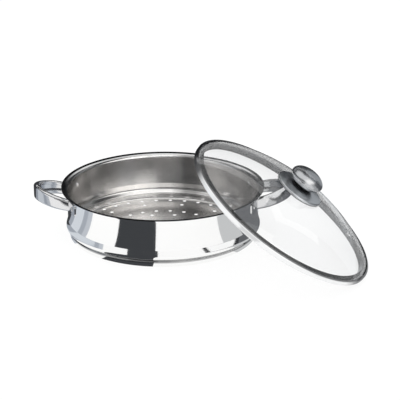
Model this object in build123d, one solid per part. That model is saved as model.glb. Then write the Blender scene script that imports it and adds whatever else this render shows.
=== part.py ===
from build123d import *
import math
import os

# Steamer pot for a 24 cm pan, with two loop handles and a domed glass lid.
# Sizes are in millimetres and angles in degrees. The origin is the centre of the
# pot's underside, +Z is up, and the handles point along -X and +X.
# The lid is taken off: its lower edge stands on the floor and it leans on the right handle.

# Pot body: one drawn sheet, round about +Z
sheet = 0.7
wall_inner_radius = 120.0
pot_height = 64.6
rim_radius = 128.0
rim_bead_radius = 0.9
flare_drop = 3.1
flare_bend = 2.6
skirt_outer_radius = 118.9
skirt_height = 7.3
floor_corner = 2.5
shoulder_bend = 0.8
neck_depth = 1.5
neck_height = 8.9
neck_bend = 1.0
bulge_corner_reach = 2.9
bulge_corner_height = 13.0
bulge_bend = 4.0
crease_height = 22.5
crease_bend = 2.0

# Perforated floor: rings of holes from the outside in
steam_hole_radius = 2.5
outer_ring_radius = 111.0
second_ring_radius = 96.0
third_ring_radius = 71.0
fourth_ring_radius = 57.0
fifth_ring_radius = 32.0
inner_ring_radius = 17.0
hole_counts = [36, 12, 24, 12, 12, 6]
first_hole_turns = [5.0, 15.0, 7.5, 15.0, 0.0, 30.0]

# Loop handles: a pressed strap with both edges curled in, and a flat tab at each end
strap_sheet = 1.0
handle_reach = 42.0
handle_half_width = 32.0
handle_base_middle = 48.2
handle_rise = 9.4
strap_height_at_wall = 15.6
strap_height_at_nose = 19.4
strap_depth = 6.2
strap_edge_bend = 3.0
strap_lip_bend = 1.4
strap_lip = 4.0
handle_stations = 17
leg_shares = [(-0.21, 1.0), (0.05, 1.0), (0.31, 0.955), (0.54, 0.82), (0.77, 0.58)]
tab_sheet = 1.0
tab_height = 13.8
tab_far_turn = 26.5
tab_corner = 3.5
weld_gap = 0.05

# Rivets, one in each tab
rivet_turn = 22.0
rivet_shank_radius = 1.9
rivet_hole_gap = 0.05
rivet_outer_head_radius = 2.6
rivet_inner_head_radius = 3.3
rivet_head_height = 1.0
rivet_seat_gap = 0.03

# Glass of the lid: a spherical cap, round about the lid's own axis.
# Heights on the lid are taken from the underside of its band's seat.
glass = 3.0
glass_dome_radius = 250.0
screw_hole_radius = 3.4

# Steel band: short lip over the glass, wall, seat under the glass and a locating ring
band_sheet = 0.4
band_overhang = 4.0
band_lap = 1.6
fold_bend = 0.5
seat_bend = 0.4
locating_play = 3.4
locating_depth = 4.0
locating_width = 2.4
locating_bend = 0.8

# Soft strip between the glass and the band
seal = 0.3
seal_gap = 0.05
seal_play = 0.1
seal_lap = 1.2
seal_bend = 0.25

# Steam vent in the glass
vent_radius_from_axis = 82.8
vent_turn = 9.0
vent_hole_radius = 3.2
eyelet_outer_radius = 3.1
eyelet_bore_radius = 1.8
eyelet_flange_radius = 4.8
eyelet_flange = 0.7
collar_radius = 4.6
collar = 0.8
eyelet_tail = 0.4
vent_seat_gap = 0.06

# Knob: bell-shaped skirt, steel cap, core and insert
skirt_radius = 29.8
bell_sheet = 0.8
bell_edge_height = 1.0
bell_crown_radius = 11.0
bell_crown_height = 5.6
bell_edge_bend = 1.2
bell_crown_bend = 5.0
edge_gasket = 0.9
edge_gasket_width = 2.2
edge_gasket_inset = 0.1
cap_radius = 20.8
cap_half_height = 10.8
cap_middle_height = 15.4
cap_sheet = 0.8
cap_mouth_radius = 15.0
cap_points = 9
core_gap = 0.08
core_shoulder_radius = 9.5
core_stem_radius = 5.5
stem_gap = 0.1
insert_radius = 4.0
insert_length = 9.0
insert_gap = 0.02

# Screw, washer and gaskets at the middle of the lid
screw_radius = 2.5
screw_thread_gap = 0.05
screw_head_radius = 4.6
screw_head_height = 2.6
screw_head_rounding = 1.2
screw_end_gap = 0.6
cross_width = 1.2
cross_length = 5.0
cross_depth = 1.5
washer = 1.0
washer_radius = 8.5
inner_gasket = 1.0
inner_gasket_radius = 8.0
stem_gasket = 0.9
stem_gasket_radius = 7.5
washer_hole_gap = 0.15
stack_gap = 0.02

# Where the lid rests
lid_tilt = 34.5
lid_turn = -12.0
lid_side_shift = -86.0
lid_touch_gap = 0.3
touch_turn = 0.3
rim_touch_points = 180

# Cutting tools run past what they cut by this much
overrun = 5.0

wall_outer_radius = wall_inner_radius + sheet
tab_inner_radius = wall_outer_radius + weld_gap
tab_outer_radius = tab_inner_radius + tab_sheet
glass_inner_dome_radius = glass_dome_radius - glass
band_radius = wall_inner_radius + band_overhang
edge_space = band_sheet + seal + 2 * seal_gap + seal_play
glass_edge_radius = band_radius - edge_space
dome_centre_height = edge_space - math.sqrt(glass_inner_dome_radius**2 - glass_edge_radius**2)
glass_top_height = dome_centre_height + glass_dome_radius
locating_radius = wall_inner_radius - locating_play


def sheet_section(points, bends, thickness):
    """Closed section of a folded sheet, whose middle line runs through the points."""
    line = FilletPolyline(*points, radius=bends) if bends else Polyline(*points)
    wire = line.wire().offset_2d(thickness / 2, side=Side.BOTH, closed=True)
    return make_face(wire.edges())


def upright(section):
    """Turn a section drawn as (radius, height) in XY into the XZ plane."""
    return Plane.XZ * section


def turned(section):
    """Solid of revolution of a (radius, height) section about +Z."""
    return revolve(upright(section), Axis.Z, 360)


def ring(inner, outer, low, high):
    """Plain ring about +Z."""
    section = Pos((inner + outer) / 2, (low + high) / 2) * Rectangle(outer - inner, high - low)
    return turned(section)


def disc(radius, low, high):
    """Plain disc about +Z."""
    return Pos(0, 0, (low + high) / 2) * Cylinder(radius, high - low)


def steamer_body():
    """Drawn shell: flat perforated floor, nesting skirt, neck, bulge, wall and rolled rim."""
    half = sheet / 2
    wall = wall_inner_radius + half
    skirt = skirt_outer_radius - half
    neck = skirt - neck_depth
    bulge = wall + bulge_corner_reach
    bead_middle = rim_radius - rim_bead_radius
    bead_height = pot_height - rim_bead_radius
    points = [
        (fifth_ring_radius, half),
        (skirt, half),
        (skirt, skirt_height),
        (neck, neck_height),
        (bulge, bulge_corner_height),
        (wall, crease_height),
        (wall, bead_height - flare_drop),
        (bead_middle, bead_height),
    ]
    bends = [floor_corner, shoulder_bend, neck_bend, bulge_bend, crease_bend, flare_bend]
    shell = turned(sheet_section(points, bends, sheet))
    bead = turned(Pos(bead_middle, bead_height) * Circle(rim_bead_radius))
    body = shell + bead + disc(fifth_ring_radius, 0, sheet)
    drill = Cylinder(steam_hole_radius, sheet + overrun)
    ring_radii = [
        outer_ring_radius,
        second_ring_radius,
        third_ring_radius,
        fourth_ring_radius,
        fifth_ring_radius,
        inner_ring_radius,
    ]
    holes = []
    for radius, count, first_turn in zip(ring_radii, hole_counts, first_hole_turns):
        holes += [place * drill for place in PolarLocations(radius, count, first_turn)]
    body -= holes
    return body - rivet_holes()


def rivet_places():
    """Name, side and turn of each rivet, seen from above."""
    return [
        ("right_front_rivet", -rivet_turn),
        ("right_rear_rivet", rivet_turn),
        ("left_rear_rivet", 180 - rivet_turn),
        ("left_front_rivet", 180 + rivet_turn),
    ]


def radial(turn, height):
    """Location on the pot's axis whose +Z points outwards at a turn."""
    return Pos(0, 0, height) * Rot(Z=turn) * Rot(Y=90)


def rivet_holes():
    """Drills for the four rivets, through the wall and the tabs."""
    reach = tab_outer_radius + overrun
    low = wall_inner_radius - overrun
    drill = disc(rivet_shank_radius + rivet_hole_gap, low, reach)
    return [radial(turn, handle_base_middle) * drill for _, turn in rivet_places()]


def rivet(turn):
    """Rivet through wall and tab, with a low round head at each end."""
    inner_face = wall_inner_radius - rivet_seat_gap - rivet_inner_head_radius**2 / (2 * wall_inner_radius)
    outer_face = tab_outer_radius + rivet_seat_gap
    outer_rounding = rivet_head_height / 2
    shank = disc(rivet_shank_radius, inner_face, outer_face)
    outer_head = disc(rivet_outer_head_radius, outer_face, outer_face + rivet_head_height)
    inner_head = disc(rivet_inner_head_radius, inner_face - rivet_head_height, inner_face)
    outer_head = fillet(outer_head.edges().sort_by(Axis.Z)[-1], outer_rounding)
    inner_head = fillet(inner_head.edges().sort_by(Axis.Z)[0], outer_rounding)
    return radial(turn, handle_base_middle) * (shank + outer_head + inner_head)


def handle_path():
    """Plan of the loop's outer face, from one leg inside the wall round the nose to the other."""
    leg = [
        (wall_outer_radius + across * handle_reach, along * handle_half_width)
        for across, along in leg_shares
    ]
    nose = (wall_outer_radius + handle_reach, 0)
    front = [(x, -y) for x, y in leg]
    return Spline(*front, nose, *reversed(leg))


def strap_section(height):
    """Closed section of the strap, outer face on x = 0, both edges curled towards -x."""
    half = strap_sheet / 2
    top = height / 2 - half
    points = [
        (half - strap_depth, top - strap_lip),
        (half - strap_depth, top),
        (-half, top),
        (-half, -top),
        (half - strap_depth, -top),
        (half - strap_depth, strap_lip - top),
    ]
    bends = [strap_lip_bend, strap_edge_bend, strap_edge_bend, strap_lip_bend]
    return sheet_section(points, bends, strap_sheet)


def handle_loop():
    """Strap bent into a loop towards +X, growing taller and climbing towards its nose."""
    path = handle_path()
    sections = []
    for index in range(handle_stations):
        share = index / (handle_stations - 1)
        place = path.position_at(share)
        run = path.tangent_at(share)
        rise_share = (place.X - wall_outer_radius) / handle_reach
        middle = handle_base_middle + handle_rise * rise_share
        height = strap_height_at_wall + (strap_height_at_nose - strap_height_at_wall) * rise_share
        outward = Vector(run.Y, -run.X, 0)
        frame = Plane((place.X, place.Y, middle), x_dir=outward, z_dir=run)
        sections.append(frame * strap_section(height))
    return loft(sections)


def handle_tab(side):
    """Flat end of the strap, bent to the wall, with rounded far corners."""
    leg_turn = math.degrees(math.asin((handle_half_width - strap_depth) / tab_outer_radius))
    width = math.radians(tab_far_turn - leg_turn) * tab_outer_radius
    middle_turn = side * (tab_far_turn + leg_turn) / 2
    outline = RectangleRounded(tab_height, width, tab_corner)
    block = extrude(outline, tab_outer_radius + overrun)
    plate = ring(tab_inner_radius, tab_outer_radius, -tab_height, tab_height)
    return (Pos(0, 0, handle_base_middle) * plate) & (radial(middle_turn, handle_base_middle) * block)


def right_handle():
    """Loop trimmed to the tabs, with its two rivet holes."""
    inside = disc((tab_inner_radius + tab_outer_radius) / 2, 0, pot_height)
    handle = handle_loop() - inside + handle_tab(-1) + handle_tab(1)
    return handle - rivet_holes()


def dome(radius, sphere):
    """Height of a sphere round the glass's centre, over a radius from the lid's axis."""
    return dome_centre_height + math.sqrt(sphere**2 - radius**2)


def lid_glass():
    """Spherical cap with a screw hole on its axis and a vent hole near its edge."""
    edge = glass_edge_radius
    outer_middle = (edge + screw_hole_radius) / 2
    outer = ThreePointArc(
        (screw_hole_radius, dome(screw_hole_radius, glass_dome_radius)),
        (outer_middle, dome(outer_middle, glass_dome_radius)),
        (edge, dome(edge, glass_dome_radius)),
    )
    inner = ThreePointArc(
        (edge, dome(edge, glass_inner_dome_radius)),
        (outer_middle, dome(outer_middle, glass_inner_dome_radius)),
        (screw_hole_radius, dome(screw_hole_radius, glass_inner_dome_radius)),
    )
    outline = [outer, Line(outer @ 1, inner @ 0), inner, Line(inner @ 1, outer @ 0)]
    cap = turned(make_face(outline))
    return cap - vent_place() * disc(vent_hole_radius, -glass - overrun, overrun)


def vent_place():
    """Location on the outer face of the glass at the vent, +Z away from the glass."""
    lean = math.degrees(math.asin(vent_radius_from_axis / glass_dome_radius))
    centre = Pos(0, 0, dome_centre_height)
    return centre * Rot(Z=vent_turn) * Rot(Y=lean) * Pos(0, 0, glass_dome_radius)


def lid_rim_seal():
    """Soft channel round the edge of the glass."""
    half = seal / 2
    over = glass_dome_radius + seal_gap + half
    under = glass_inner_dome_radius - seal_gap - half
    edge = glass_edge_radius + seal_gap + half
    end = glass_edge_radius - seal_lap
    points = [
        (end, dome(end, over)),
        (edge, dome(edge, over)),
        (edge, dome(edge, under)),
        (end, dome(end, under)),
    ]
    return turned(sheet_section(points, [seal_bend, seal_bend], seal))


def lid_rim_band():
    """Folded steel band: lip over the glass, wall, seat under it and U-shaped locating ring."""
    half = band_sheet / 2
    wall = band_radius - half
    over = glass_dome_radius + 2 * seal_gap + seal + half
    under = glass_inner_dome_radius - seal_gap - half
    lip = glass_edge_radius - band_lap
    ring_outside = locating_radius - half
    ring_inside = locating_radius - locating_width + half
    foot = half - locating_depth
    points = [
        (lip, dome(lip, over)),
        (wall, dome(wall, over)),
        (wall, half),
        (ring_outside, half),
        (ring_outside, foot),
        (ring_inside, foot),
        (ring_inside, dome(ring_inside, under)),
    ]
    bends = [fold_bend, fold_bend, seat_bend, locating_bend, locating_bend]
    return turned(sheet_section(points, bends, band_sheet))


def vent_eyelet():
    """Flanged steel tube through the vent hole."""
    tail = -glass - collar - vent_seat_gap - eyelet_tail
    tube = ring(eyelet_bore_radius, eyelet_outer_radius, tail, vent_seat_gap)
    flange = ring(eyelet_bore_radius, eyelet_flange_radius, vent_seat_gap, vent_seat_gap + eyelet_flange)
    flange = fillet(flange.edges().group_by(Axis.Z)[-1].sort_by(SortBy.RADIUS)[-1], eyelet_flange / 2)
    return vent_place() * (tube + flange)


def vent_collar():
    """Ring pressed on the eyelet's tail under the glass."""
    top = -glass - vent_seat_gap
    return vent_place() * ring(eyelet_outer_radius + stack_gap, collar_radius, top - collar, top)


def lid_height(above_glass):
    """Height in the lid's frame of a height above the top of the glass."""
    return glass_top_height + above_glass


def skirt_seat():
    """Height above the glass of the bell's lower edge."""
    return dome(skirt_radius, glass_dome_radius) - glass_top_height + edge_gasket


def skirt_gasket():
    """Soft ring between the glass and the edge of the knob's bell."""
    outer = skirt_radius - edge_gasket_inset
    inner = outer - edge_gasket_width
    low = dome(inner, glass_dome_radius) + stack_gap
    return ring(inner, outer, low, lid_height(skirt_seat() - stack_gap))


def knob_skirt():
    """Spun bell under the knob, with a short upright edge and a flat crown round the stem."""
    half = bell_sheet / 2
    edge = skirt_radius - half
    low = lid_height(skirt_seat())
    crown = lid_height(bell_crown_height - half)
    points = [
        (edge, low + half),
        (edge, low + bell_edge_height + bell_edge_bend),
        (bell_crown_radius, crown),
        (core_stem_radius + stem_gap + half, crown),
    ]
    return turned(sheet_section(points, [bell_edge_bend, bell_crown_bend], bell_sheet))


def cap_side(inset):
    """Oval side of the knob's head, set in from its surface, from the mouth up to the axis."""
    radius = cap_radius - inset
    half_height = cap_half_height - inset
    middle = lid_height(cap_middle_height)
    mouth = -math.acos(cap_mouth_radius / cap_radius)
    points = []
    for index in range(cap_points):
        angle = mouth + (math.pi / 2 - mouth) * index / (cap_points - 1)
        points.append((radius * math.cos(angle), middle + half_height * math.sin(angle)))
    points[-1] = (0, middle + half_height)
    return Spline(*points)


def knob_cap():
    """Hollow steel head of the knob, open underneath."""
    outer = cap_side(0)
    inner = cap_side(cap_sheet)
    outline = [outer, Line(outer @ 1, inner @ 1), inner, Line(inner @ 0, outer @ 0)]
    return turned(make_face(outline))


def knob_core():
    """Moulded core that fills the cap, with a stem through the bell and a pocket for the insert."""
    side = cap_side(cap_sheet + core_gap)
    shoulder = lid_height(bell_crown_height + stack_gap)
    foot = lid_height(stem_gasket + 2 * stack_gap)
    points = [
        side @ 1,
        (0, foot),
        (core_stem_radius, foot),
        (core_stem_radius, shoulder),
        (core_shoulder_radius, shoulder),
        side @ 0,
    ]
    core = turned(make_face([side, Polyline(*points)]))
    pocket = disc(insert_radius + insert_gap, foot - overrun, insert_top() + stack_gap)
    return core - pocket


def insert_top():
    """Height of the threaded insert's upper end."""
    return lid_height(stem_gasket + 2 * stack_gap + insert_length)


def knob_insert():
    """Brass insert moulded into the core, bored for the screw."""
    bore = screw_radius + screw_thread_gap
    return ring(bore, insert_radius, insert_top() - insert_length, insert_top())


def stem_gasket_ring():
    """Soft ring between the glass and the foot of the core."""
    low = lid_height(stack_gap)
    return ring(screw_radius + washer_hole_gap, stem_gasket_radius, low, low + stem_gasket)


def inner_stack_top():
    """Height of the inner gasket's upper face, just clear of the hollow side of the glass."""
    return dome(inner_gasket_radius, glass_inner_dome_radius) - stack_gap


def inner_gasket_ring():
    """Soft ring between the hollow side of the glass and the washer."""
    top = inner_stack_top()
    return ring(screw_radius + washer_hole_gap, inner_gasket_radius, top - inner_gasket, top)


def screw_washer():
    """Steel washer under the screw's head."""
    top = inner_stack_top() - inner_gasket - stack_gap
    return ring(screw_radius + washer_hole_gap, washer_radius, top - washer, top)


def lid_screw():
    """Pan-head screw up through the glass into the insert, with a cross recess."""
    seat = inner_stack_top() - inner_gasket - washer - 2 * stack_gap
    head = disc(screw_head_radius, seat - screw_head_height, seat)
    head = fillet(head.edges().sort_by(Axis.Z)[0], screw_head_rounding)
    shank = disc(screw_radius, seat, insert_top() - screw_end_gap)
    low = seat - screw_head_height
    bar = Pos(0, 0, low) * Box(cross_length, cross_width, 2 * cross_depth)
    return head + shank - bar - Rot(Z=90) * bar


def lid_axes():
    """Outward axis of the resting lid, and its level directions away from and along the pot."""
    tilt = math.radians(lid_tilt)
    turn = math.radians(lid_turn)
    away = Vector(math.cos(turn), math.sin(turn), 0)
    along = Vector(-math.sin(turn), math.cos(turn), 0)
    axis = away * math.sin(tilt) + Vector(0, 0, 1) * math.cos(tilt)
    return axis, away, along


def lid_centre_height():
    """Height of the lid's origin when the lowest corner of its band is on the floor."""
    tilt = math.radians(lid_tilt)
    heights = []
    for radius, drop, bend in [(band_radius, 0, fold_bend), (locating_radius, locating_depth, locating_bend)]:
        corner = bend + band_sheet / 2
        reach = (radius - corner) * math.sin(tilt) + (drop - corner) * math.cos(tilt)
        heights.append(reach + corner)
    return max(heights)


def lid_underside(radius):
    """Height of the lid's underside over a radius from its axis, in its own frame."""
    if radius > band_radius + lid_touch_gap:
        return math.inf
    if radius > locating_radius + lid_touch_gap:
        return 0.0
    if radius > locating_radius - locating_width - lid_touch_gap:
        return -locating_depth
    return dome(radius, glass_inner_dome_radius)


def lid_clears(centre, axis, points):
    """Whether every point stays under the lid by the touch gap."""
    for point in points:
        offset = point - centre
        height = offset.dot(axis)
        radius = (offset - axis * height).length
        if height > lid_underside(radius) - lid_touch_gap:
            return False
    return True


def lid_place(handle):
    """Slide the tilted lid level towards the pot until it leans on the handle or the rim."""
    axis, away, along = lid_axes()
    points, _ = handle.tessellate(lid_touch_gap / 3, touch_turn)
    points = [point for point in points if point.Z > handle_base_middle]
    rim = Pos(0, 0, pot_height) * Circle(rim_radius).edge()
    points += [rim.position_at(index / rim_touch_points) for index in range(rim_touch_points)]
    start = along * lid_side_shift + Vector(0, 0, lid_centre_height())
    near = 0
    far = rim_radius + handle_reach + band_radius
    while far - near > lid_touch_gap / 10:
        travel = (near + far) / 2
        if lid_clears(start + away * travel, axis, points):
            far = travel
        else:
            near = travel
    centre = start + away * far
    return Pos(*centre) * Rot(Z=lid_turn) * Rot(Y=lid_tilt)


def lid_parts():
    """Pieces of the lid in the lid's own frame."""
    return {
        "lid_glass": lid_glass(),
        "lid_rim_seal": lid_rim_seal(),
        "lid_rim_band": lid_rim_band(),
        "vent_eyelet": vent_eyelet(),
        "vent_collar": vent_collar(),
        "knob_skirt": knob_skirt(),
        "skirt_gasket": skirt_gasket(),
        "knob_cap": knob_cap(),
        "knob_core": knob_core(),
        "knob_insert": knob_insert(),
        "stem_gasket": stem_gasket_ring(),
        "inner_gasket": inner_gasket_ring(),
        "screw_washer": screw_washer(),
        "lid_screw": lid_screw(),
    }


def build():
    """All pieces where they rest."""
    handle = right_handle()
    parts = {
        "steamer_body": steamer_body(),
        "right_handle": handle,
        "left_handle": Rot(Z=180) * handle,
    }
    for name, turn in rivet_places():
        parts[name] = rivet(turn)
    place = lid_place(handle)
    for name, piece in lid_parts().items():
        parts[name] = place * piece
    return parts


os.makedirs("parts", exist_ok=True)
for node, solid in build().items():
    export_step(solid, f"parts/{node}.step")
    print(node, round(solid.volume, 1))
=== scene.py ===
import math

import bmesh
import bpy
import numpy as np
from bpy.props import FloatProperty, FloatVectorProperty, PointerProperty
from mathutils import Matrix, Vector


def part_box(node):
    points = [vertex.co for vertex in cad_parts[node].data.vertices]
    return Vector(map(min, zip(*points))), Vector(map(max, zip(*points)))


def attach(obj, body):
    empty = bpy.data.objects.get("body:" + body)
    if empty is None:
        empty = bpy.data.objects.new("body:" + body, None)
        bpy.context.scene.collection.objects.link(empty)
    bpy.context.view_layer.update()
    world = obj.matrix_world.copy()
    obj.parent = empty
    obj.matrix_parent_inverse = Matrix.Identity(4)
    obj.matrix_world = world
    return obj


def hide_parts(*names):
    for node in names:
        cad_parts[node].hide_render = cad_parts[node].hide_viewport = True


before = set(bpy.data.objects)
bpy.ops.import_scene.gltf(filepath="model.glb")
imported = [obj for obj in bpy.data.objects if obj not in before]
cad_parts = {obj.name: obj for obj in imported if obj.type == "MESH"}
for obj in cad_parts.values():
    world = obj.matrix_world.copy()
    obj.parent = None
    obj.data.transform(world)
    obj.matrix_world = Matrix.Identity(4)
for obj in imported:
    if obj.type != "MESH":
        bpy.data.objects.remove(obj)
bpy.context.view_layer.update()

bl_info = {
    "name": "Steamer pot with glass lid",
    "version": (1, 0, 0),
    "blender": (4, 5, 0),
    "location": "3D View > Sidebar > Steamer",
    "description": "Dresses the steamer pot, its strap handles and its glass lid",
    "category": "Object",
}

# Sizes are real ones, given in millimetres and kept in metres. The pot's axis is Z, its underside at 0.
MM = 0.001
POT = "pot"
LID = "lid"

# Smoothness of the turned and folded meshes
ROUND_SEGMENTS = 256
KNOB_SEGMENTS = 128
SMALL_SEGMENTS = 32
HOLE_SEGMENTS = 20
BEND_STEP = math.radians(9)
CREASE_ANGLE = math.radians(38)
GLASS_STEPS = 48
CAP_STEPS = 40
HANDLE_STATIONS = 120
TAB_COLUMNS = 40

# Distances within which points count as on the axis, on an edge, as one point and on a sphere
ON_AXIS = 1e-7
ON_EDGE = 1e-6
ONE_POINT = 2e-6
ON_SPHERE = 5e-5

# Upright share of a normal from which its face is level, and cosine from which two directions are one
LEVEL = 0.5
SAME_WAY = 0.99

# Half of a strap's loop from inside the wall to its nose: shares of the handle's reach and half width
LEG_SHARES = [(-0.21, 1.0), (0.05, 1.0), (0.31, 0.955), (0.54, 0.82), (0.77, 0.58)]

# Share of the loop at each end in which it comes out of the tab, how often that is halved, and the
# share over which the loop's direction is taken
END_SHARE = 0.3
HALVINGS = 24
RUN_STEP = 1e-4

# Rivets in the tabs of both handles
RIVETS = 4

# Camera of the photograph: a level 400 pixel frame
FRAME_PIXELS = 400
FOCAL_PIXELS = 1347
SENSOR_WIDTH = 36.0
CAMERA_RANGE = 60.0

# Washer and gasket under the glass, which stay as the CAD has them
WASHER = 1.0 * MM
INNER_GASKET = 1.0 * MM
INNER_GASKET_RADIUS = 8.0 * MM

# Tones of painted light: a dark tone for painted dark reflection and shade on polished steel, a dark tone
# for the painted dark reflection along the bead inside the rim, and a bright one for the painted highlight
# on the flare inside the rim
PAINTED_DARK_TONE = (0.04, 0.042, 0.046, 1.0)
PAINTED_DARK_RIM_TONE = (0.03, 0.03, 0.033, 1.0)
PAINTED_FLARE_HIGHLIGHT = (0.9, 0.9, 0.9, 1.0)

# Fades of the painted dark reflection on the outside, each between two distances: the rim from the bead,
# and the painted shade of the neck's line from it
RIM_FADE = (-1.2 * MM, -0.4 * MM)
NECK_FOOT_FADE = (-3.4 * MM, -2.6 * MM)
NECK_TOP_FADE = (1.6 * MM, 2.4 * MM)
NECK_DARK = 0.55

# Where the painted dark reflection on the rim grows wider to the right, outside and inside, and by how
# much
OUTER_RIGHT_FADE = (50.0 * MM, 90.0 * MM)
OUTER_RIGHT_WIDER = 1.8 * MM
INNER_RIGHT_FADE = (40.0 * MM, 70.0 * MM)
INNER_RIGHT_WIDER = 1.6 * MM

# Fades of the inside: floor to wall, front to back, and flare and edge from the bead, for the painted
# highlight on the flare at the back and the painted dark reflection on the front flare and edge; then
# shares of the painted highlight's milkiness and of the painted reflection bands
WALL_FADE = (3.0 * MM, 6.0 * MM)
BACK_FADE = (0.0, 50.0 * MM)
FLARE_FADE = (-2.0 * MM, -1.5 * MM)
EDGE_FADE = (-0.9 * MM, -0.4 * MM)
FLARE_HIGHLIGHT_SHARE = 0.7
FLOOR_BRIGHT = 0.75
EVEN_SHARE = 0.6
MOTTLE_SHARE = 0.4

# Fades of the painted dark and pale on the band in the lid's frame: painted shade inside its ring's
# middle, painted dark reflection on its lip, wall edge, far side and ends, and the painted pale reflection
# on its front
RING_FADE = (-0.2 * MM, 0.2 * MM)
LIP_FADE = (5.0 * MM, 5.4 * MM)
BAND_WALL_FADE = (-0.3 * MM, 0.0)
FAR_FADE = (0.0, 30.0 * MM)
FAR_ACROSS, FAR_ALONG = 0.6, 0.8
HIGH_END_FADE = (-110.0 * MM, -100.0 * MM)
FRONT_FADE = (-60.0 * MM, -20.0 * MM)
LIP_DARK = 0.8
FAR_DARK = 0.85
PAINTED_PALE_SHARE = 0.75

# Repeats of the textures that follow a turned surface: in a metre, or in a radian round it
BRUSH_LINES = 2600.0
BRUSH_ROUND = 1.5
CLOUDS_UP = 30.0
CLOUDS_ROUND = 9.0
SPUN_RINGS = 3200.0

# Painted reflection bands round the inside of the pot, as brightness at each share of a turn from -X
# through the front, +X and the back
INSIDE_BAND_SHARES = [
    (0.0, 0.1),
    (0.25, 0.5),
    (0.5, 0.5),
    (0.56, 0.25),
    (0.62, 0.9),
    (0.66, 1.0),
    (0.69, 0.1),
    (0.71, 0.1),
    (0.735, 1.0),
    (0.8, 1.0),
    (0.83, 0.7),
    (0.87, 0.25),
    (0.93, 0.12),
    (1.0, 0.1),
]

# Tones of the room and its floor, which is slightly brighter than white where it is seen
WHITE = (1.0, 1.0, 1.0, 1.0)
FLOOR_GREY = (0.9, 0.9, 0.9, 1.0)
FLOOR_PALE = (0.93, 0.93, 0.93, 1.0)
FLOOR_STRENGTH = 1.06

# Cards that the steel reflects. On the floor, from near the pot outwards and up a wall: name, start
# and end in degrees from the front towards +X, height of the wall in metres, and tone
CARD_STEP = 4
CARD_NEAR = 0.119
CARD_FAR = 1.4
CARD_LIFT = 0.4 * MM
FLOOR_CARDS = [
    ("front_left_card", -40, -6.5, 0.3, (0.05, 0.053, 0.058)),
    ("left_card_1", -76, -70, 0.6, (0.52, 0.55, 0.6)),
    ("left_card_2", -82, -76, 0.6, (0.38, 0.41, 0.46)),
    ("left_card_3", -96, -82, 0.6, (0.64, 0.68, 0.73)),
    ("left_card_4", -104, -96, 0.6, (0.35, 0.38, 0.43)),
    ("right_card", 50, 72, 0.6, (0.56, 0.57, 0.58)),
    ("far_right_card", 72, 113, 0.6, (0.12, 0.125, 0.135)),
    ("rear_right_card", 113, 142, 1.2, (0.44, 0.46, 0.48)),
    ("rear_card", 142, 256, 1.2, (0.05, 0.053, 0.058)),
]
# Above and far away: name, start, end, steps between them, lowest and highest or nearest and
# farthest line as distance and height in metres, and tone
HIGH_CARDS = [
    ("ceiling_card", 95, 245, 30, [(0.765, 1.7), (1.7, 1.7)], (0.03, 0.032, 0.036)),
    ("front_left_wall", -120, 8, 16, [(3.0, 1.0), (3.0, 3.2)], (0.16, 0.165, 0.17)),
    ("right_wall", 92, 113, 16, [(3.0, 0.3), (3.0, 3.2)], (0.2, 0.22, 0.24)),
    ("front_right_lamp", 22, 84, 16, [(3.0, 0.9), (3.0, 3.6)], (1.6, 1.58, 1.55)),
]


def length(name, description, millimetres):
    """A size of the object, shown in the sidebar."""
    return FloatProperty(
        name=name, description=description, default=millimetres * MM, unit="LENGTH", precision=5
    )


def angle(name, description, degrees):
    """An angle of the object, shown in the sidebar."""
    return FloatProperty(
        name=name, description=description, default=math.radians(degrees), unit="ROTATION"
    )


def colour(name, description, value):
    """A finish colour, shown in the sidebar."""
    return FloatVectorProperty(
        name=name, description=description, default=value, size=4, subtype="COLOR", min=0, max=1
    )


def share(name, description, value):
    """A number from 0 to 1, shown in the sidebar."""
    return FloatProperty(name=name, description=description, default=value, min=0, max=1, subtype="FACTOR")


class PotSizes(bpy.types.PropertyGroup):
    """Drawn shell of the pot."""

    sheet: length("Sheet", "Thickness of the shell", 0.7)
    wall_radius: length("Wall radius", "Inside radius of the straight wall", 120.0)
    height: length("Height", "From the underside to the top of the rim", 64.6)
    rim_radius: length("Rim radius", "Outside radius of the rolled rim", 128.0)
    bead_radius: length("Bead radius", "Radius of the rim's rolled edge", 0.9)
    flare_drop: length("Flare drop", "Height of the flare below the bead", 3.1)
    flare_bend: length("Flare bend", "Bend from wall to flare", 2.6)
    skirt_radius: length("Skirt radius", "Outside radius of the nesting skirt", 118.9)
    skirt_height: length("Skirt height", "Height of the skirt's shoulder", 7.3)
    floor_corner: length("Floor corner", "Bend between floor and skirt", 2.5)
    shoulder_bend: length("Shoulder bend", "Bend at the top of the skirt", 0.8)
    neck_depth: length("Neck depth", "How far the neck is drawn in", 1.5)
    neck_height: length("Neck height", "Height of the neck", 8.9)
    neck_bend: length("Neck bend", "Bend at the neck", 1.0)
    bulge_reach: length("Bulge reach", "How far the bulge's corner stands out of the wall", 2.9)
    bulge_height: length("Bulge height", "Height of the bulge's corner", 13.0)
    bulge_bend: length("Bulge bend", "Bend of the bulge", 4.0)
    crease_height: length("Crease height", "Height where the wall turns straight", 22.5)
    crease_bend: length("Crease bend", "Bend at the crease", 2.0)
    hole_radius: length("Hole radius", "Radius of a steam hole", 2.5)
    ring_1: length("Outer hole ring", "Radius of the outermost ring of holes", 111.0)
    ring_2: length("Second hole ring", "Radius of the second ring of holes", 96.0)
    ring_3: length("Third hole ring", "Radius of the third ring of holes", 71.0)
    ring_4: length("Fourth hole ring", "Radius of the fourth ring of holes", 57.0)
    ring_5: length("Fifth hole ring", "Radius of the fifth ring of holes", 32.0)
    ring_6: length("Inner hole ring", "Radius of the innermost ring of holes", 17.0)


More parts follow.
